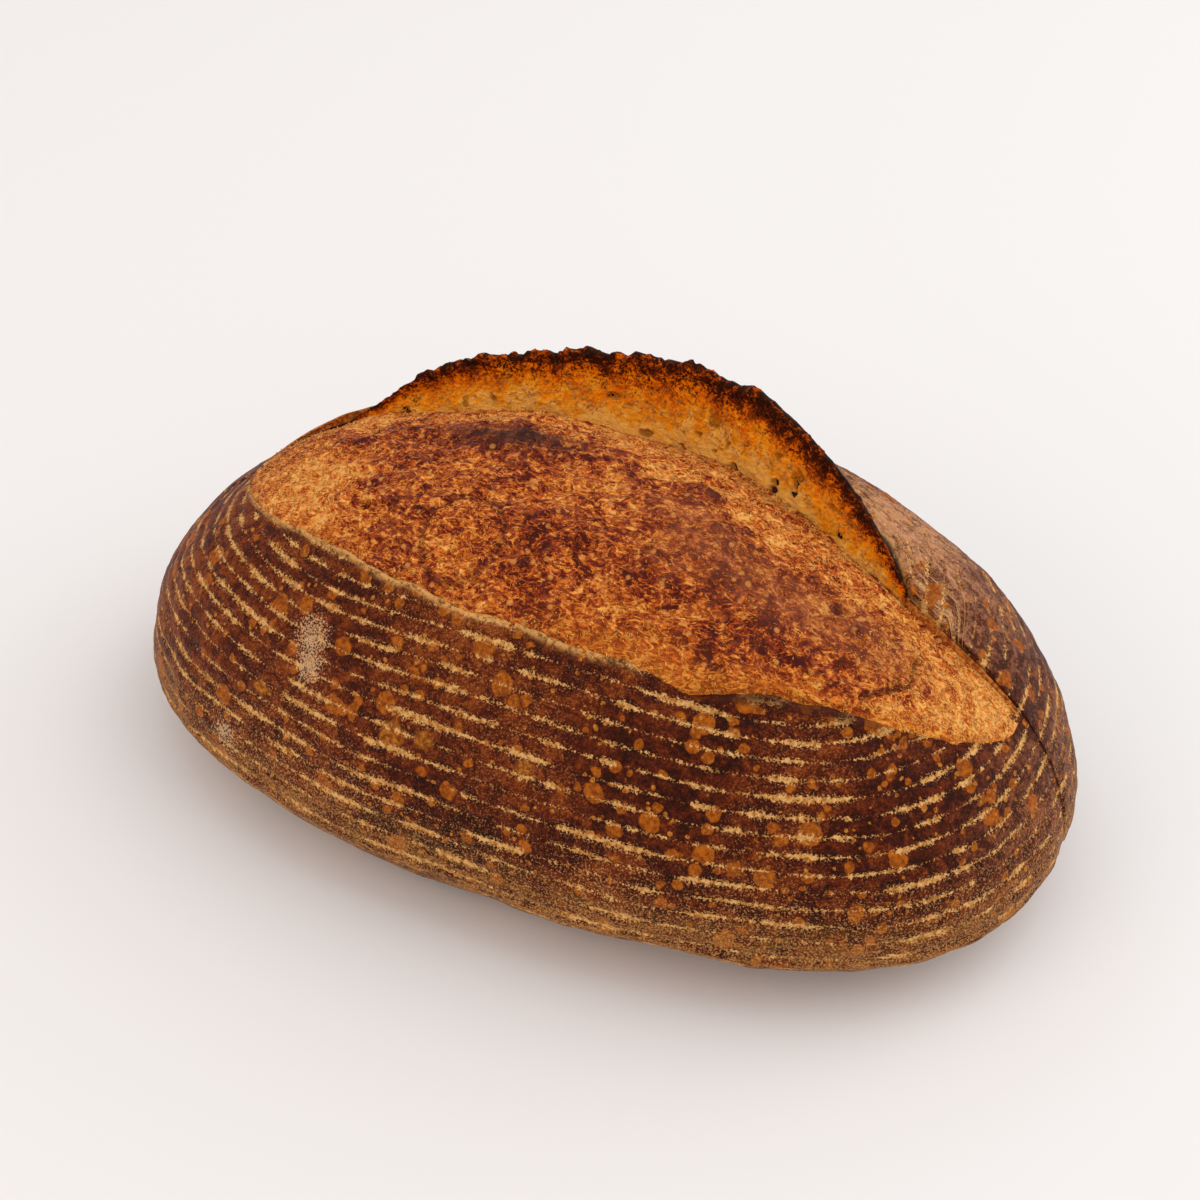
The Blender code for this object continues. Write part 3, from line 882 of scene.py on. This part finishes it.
grid, up, seen = ear_grid()
normals = outward(grid)
x = grid[..., 0]
rise = ear_rise(x)
torn = 1 - smooth_step(x, 0.015, 0.05)
chunks = lumps(grid, (0.009, 0.007, 0.006), 3, 21.0)
crumbs = lumps(grid, 0.0030, 4, 22.0)
shag = lumps(grid, 0.0017, 3, 23.0, ridged=True) - 0.9
pores = lumps(grid, (0.008, 0.006, 0.005), 3, 24.0)
holes = smooth_step(pores, 0.42, 0.62) * (1 - smooth_step(up, 0.50, 0.70))
near_rim = smooth_step(up, 0.75, 1.0) * (0.35 + 0.65 * torn)
push = 0.0009 * chunks + (0.0004 + 0.0007 * near_rim) * crumbs + 0.00025 * shag - 0.0013 * holes
grid = grid + normals * (push * seen * np.minimum(1, 1.5 * rise))[..., None]
ear_points, ear_normals, ear_up, ear_seen = grid, normals, up, seen
ear_crumb = loft("ear_crumb", close_ends(grid), {"up": up, "holes": holes, "torn": torn})


def crumb_material():
    material, tree, shader, where = new_material("torn crumb of the ear")
    up = attribute(tree, "up")
    long_ways = add_node(tree, "ShaderNodeMapping", {"Vector": where, "Scale": (0.6, 1.0, 1.0)})
    fibre = between(tree, texture_noise(tree, long_ways, 0.0012, 4.0, 0.65, 1.2), 0.36, 0.64)
    curly = strands(tree, long_ways, 0.0024, 0.08)
    fine = between(tree, texture_noise(tree, where, 0.0005, 2.0, 0.6), 0.34, 0.66)
    patch = between(tree, texture_noise(tree, where, 0.0080, 4.0, 0.65, 0.9), 0.36, 0.64)
    baked = weigh(tree, up, (patch, 0.32), (fibre, -0.14), (curly, -0.10), (fine, -0.08))
    baked = weigh(tree, baked, (attribute(tree, "torn"), -0.09))
    colour = shades(
        tree,
        baked,
        (
            (0.22, (0.950, 0.470, 0.090)),
            (0.36, (0.970, 0.360, 0.012)),
            (0.54, (0.970, 0.260, 0.002)),
            (0.68, (0.820, 0.160, 0.002)),
            (0.82, (0.380, 0.052, 0.002)),
            (0.94, (0.090, 0.016, 0.003)),
            (1.00, (0.030, 0.010, 0.005)),
        ),
    )
    pale = calculate(tree, "MULTIPLY", fibre, between(tree, up, 0.85, 0.45))
    colour = blend(tree, calculate(tree, "MULTIPLY", pale, 0.16), colour, (0.95, 0.46, 0.06, 1))
    # the pores and the holes are darkened: painted shade inside them
    pores = spots(tree, where, 0.0040, 0.34, 0.40, 0.4)
    pores = calculate(tree, "MULTIPLY", pores, between(tree, up, 0.62, 0.48))
    holes = calculate(tree, "MAXIMUM", pores, attribute(tree, "holes"))
    colour = blend(tree, calculate(tree, "MULTIPLY", holes, 0.65), colour, (0.26, 0.085, 0.006, 1))
    rough = between(tree, baked, 0.2, 1.0, 0.62, 0.5)
    relief = weigh(tree, fibre, (fine, 0.35), (curly, 0.70), (pores, -1.5))
    finish_surface(tree, shader, colour, rough, relief, DOUGH_RELIEF)
    shader.inputs["Specular IOR Level"].default_value = CRUMB_GLOSS
    return material


ear_crumb.data.materials.append(crumb_material())
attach(ear_crumb, "root")
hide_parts("loaf")


# ---------------------------------------------------------------------------------------------
# The shreds: short curled fibres of dough that stand up all over the torn surfaces, pale where the
# heat only dried them and dark where it caught them. The ear's rim is crumbly with them.

SHREDS_ON_DOUGH = 6200
SHREDS_ON_EAR = 3400
SHRED_SEED = 7
SHRED_GLOSS = 0.08
SHRED_RELIEF = 0.0003


def shred_places(points, normals, weight, count, chance):
    """count places picked over a grid by weight: their points and normals, and where they are in it."""
    cell = np.linalg.norm(np.gradient(points, axis=0), axis=-1)
    cell = cell * np.linalg.norm(np.roll(points, -1, axis=1) - points, axis=-1)
    share = (cell * weight).ravel()
    picked = chance.choice(share.size, count, p=share / share.sum())
    return points.reshape(-1, 3)[picked], normals.reshape(-1, 3)[picked], picked


def shred_mesh(points, normals, length, breadth, shade, chance):
    """All the shreds as one mesh: each a small ball drawn out, bent and laid on its place."""
    bm = bmesh.new()
    bmesh.ops.create_icosphere(bm, subdivisions=1, radius=1)
    ball = np.array([vertex.co for vertex in bm.verts])
    faces = np.array([[vertex.index for vertex in face.verts] for face in bm.faces])
    bm.free()
    count = len(points)
    across = np.cross(normals, chance.normal(size=(count, 3)))
    across = across / np.linalg.norm(across, axis=1, keepdims=True)
    tangent = np.cross(across, normals)
    tilt = chance.normal(0.25, 0.35, count)[:, None]
    tangent, normals = (
        tangent * np.cos(tilt) + normals * np.sin(tilt),
        normals * np.cos(tilt) - tangent * np.sin(tilt),
    )
    bend = chance.normal(0.0, 0.45, count)
    half = length / 2
    out = ball[:, 0] * half[:, None]
    aside = ball[:, 1] * breadth[:, None] / 2 + bend[:, None] * half[:, None] * ball[:, 0] ** 2
    above = ball[:, 2] * breadth[:, None] / 3 + 0.35 * half[:, None] * ball[:, 0] ** 2
    made = points[:, None] + tangent[:, None] * out[..., None]
    made = made + across[:, None] * aside[..., None] + normals[:, None] * above[..., None]
    made = made + normals[:, None] * (0.1 * length)[:, None, None]
    starts = np.arange(count)[:, None, None] * len(ball)
    mesh = bpy.data.meshes.new("shreds")
    mesh.from_pydata(made.reshape(-1, 3).tolist(), [], (faces[None] + starts).reshape(-1, 3).tolist())
    layer = mesh.attributes.new("shade", "FLOAT", "POINT")
    layer.data.foreach_set("value", np.repeat(shade, len(ball)).astype(np.float32))
    mesh.shade_smooth()
    return mesh


chance = np.random.default_rng(SHRED_SEED)
opened = openness(dough_points[..., 0])
weight = (dough_across > 0.0) * (dough_across < 0.99) * (0.35 + fresh) * (opened > 0.02)
dough_places, dough_up, picked = shred_places(dough_points, dough_normals, weight, SHREDS_ON_DOUGH, chance)
# darker over the burnt patch, and with painted shade in the pits and along the crack
dough_shade = 0.42 + 0.42 * fresh.ravel()[picked] - 0.5 * burnt_and_hollow_shade.ravel()[picked]
dough_shade = dough_shade + chance.normal(0, 0.16, SHREDS_ON_DOUGH)
weight = np.broadcast_to((ear_up > 0.3) * (ear_up < 1.0) * (0.5 + 1.5 * ear_up**4), ear_points.shape[:2])
weight = weight * np.minimum(1, 2 * ear_rise(ear_points[..., 0])) * ear_seen
ear_places, ear_out, picked = shred_places(ear_points, ear_normals, weight, SHREDS_ON_EAR, chance)
picked_up = np.broadcast_to(ear_up, ear_points.shape[:2]).ravel()[picked]
ear_shade = 0.74 - 0.80 * smooth_step(picked_up, 0.45, 0.95)
ear_shade = ear_shade + chance.normal(0, 0.10, SHREDS_ON_EAR)
everywhere = SHREDS_ON_DOUGH + SHREDS_ON_EAR
shreds = bpy.data.objects.new(
    "shreds",
    shred_mesh(
        np.concatenate((dough_places, ear_places)),
        np.concatenate((dough_up, ear_out)),
        0.0007 + 0.0013 * chance.random(everywhere) ** 1.5,
        0.00022 + 0.00026 * chance.random(everywhere),
        np.clip(np.concatenate((dough_shade, ear_shade)), 0, 1),
        chance,
    ),
)
bpy.context.scene.collection.objects.link(shreds)


def shred_material():
    material, tree, shader, where = new_material("curled shreds")
    fine = between(tree, texture_noise(tree, where, 0.0006, 2.0, 0.6), 0.34, 0.66)
    light = calculate(tree, "MULTIPLY_ADD", fine, 0.16, add=attribute(tree, "shade"))
    colour = shades(
        tree,
        light,
        (
            (0.02, (0.030, 0.008, 0.004)),
            (0.20, (0.160, 0.018, 0.003)),
            (0.40, (0.440, 0.085, 0.006)),
            (0.62, (0.720, 0.230, 0.022)),
            (0.95, (0.880, 0.460, 0.120)),
        ),
    )
    rough = between(tree, fine, 0.0, 1.0, 0.48, 0.62)
    finish_surface(tree, shader, colour, rough, fine, SHRED_RELIEF)
    shader.inputs["Specular IOR Level"].default_value = SHRED_GLOSS
    return material


shreds.data.materials.append(shred_material())
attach(shreds, "root")


# ---------------------------------------------------------------------------------------------
# The table and the light: a plain pale surface under a big soft light from the upper right, with
# a weaker one to fill the near side.

bm = bmesh.new()
bmesh.ops.create_grid(bm, x_segments=1, y_segments=1, size=4.0)
floor_mesh = bpy.data.meshes.new("floor")
bm.to_mesh(floor_mesh)
bm.free()
floor = bpy.data.objects.new("floor", floor_mesh)
bpy.context.scene.collection.objects.link(floor)
floor_material = bpy.data.materials.new("pale table")
floor_material.use_nodes = True
floor_surface = floor_material.node_tree.nodes["Principled BSDF"]
floor_surface.inputs["Base Color"].default_value = (0.85, 0.835, 0.830, 1)
floor_surface.inputs["Roughness"].default_value = 0.7
floor.data.materials.append(floor_material)


def area_light(name, place, aim, size, power, colour):
    light = bpy.data.lights.new(name, "AREA")
    light.shape = "DISK"
    light.size = size
    light.energy = power
    light.color = colour
    lamp = bpy.data.objects.new(name, light)
    lamp.location = place
    lamp.rotation_euler = (Vector(aim) - Vector(place)).to_track_quat("-Z", "Y").to_euler()
    bpy.context.scene.collection.objects.link(lamp)


area_light("window", (1.10, 0.60, 1.25), (0, 0, 0.05), 2.3, 13.0, (0.98, 0.99, 1.0))
area_light("fill", (-0.80, -1.20, 1.00), (0, 0, 0.05), 1.3, 4.4, (1.0, 0.74, 0.56))
world = bpy.data.worlds.new("studio")
world.use_nodes = True
world.node_tree.nodes["Background"].inputs["Color"].default_value = (1.0, 0.985, 0.98, 1)
world.node_tree.nodes["Background"].inputs["Strength"].default_value = 0.84
bpy.context.scene.world = world
bpy.context.scene.view_settings.view_transform = "Standard"

AZIMUTH = math.radians(24)
ELEVATION = math.radians(40)
FIELD_OF_VIEW = math.radians(28)
DISTANCE = 0.7137
AIM_RIGHT = 0.0010
AIM_UP = 0.0111
AIM_HEIGHT = 0.050
backward = Vector(
    (
        math.sin(AZIMUTH) * math.cos(ELEVATION),
        -math.cos(AZIMUTH) * math.cos(ELEVATION),
        math.sin(ELEVATION),
    )
)
rightward = Vector((math.cos(AZIMUTH), math.sin(AZIMUTH), 0))
upward = backward.cross(rightward)
camera_data = bpy.data.cameras.new("camera")
camera_data.angle = FIELD_OF_VIEW
camera = bpy.data.objects.new("camera", camera_data)
stand = rightward * AIM_RIGHT + upward * AIM_UP + Vector((0, 0, AIM_HEIGHT)) + backward * DISTANCE
turned = Matrix((rightward, upward, backward)).transposed().to_4x4()
camera.matrix_world = Matrix.Translation(stand) @ turned
bpy.context.scene.collection.objects.link(camera)
bpy.context.scene.camera = camera
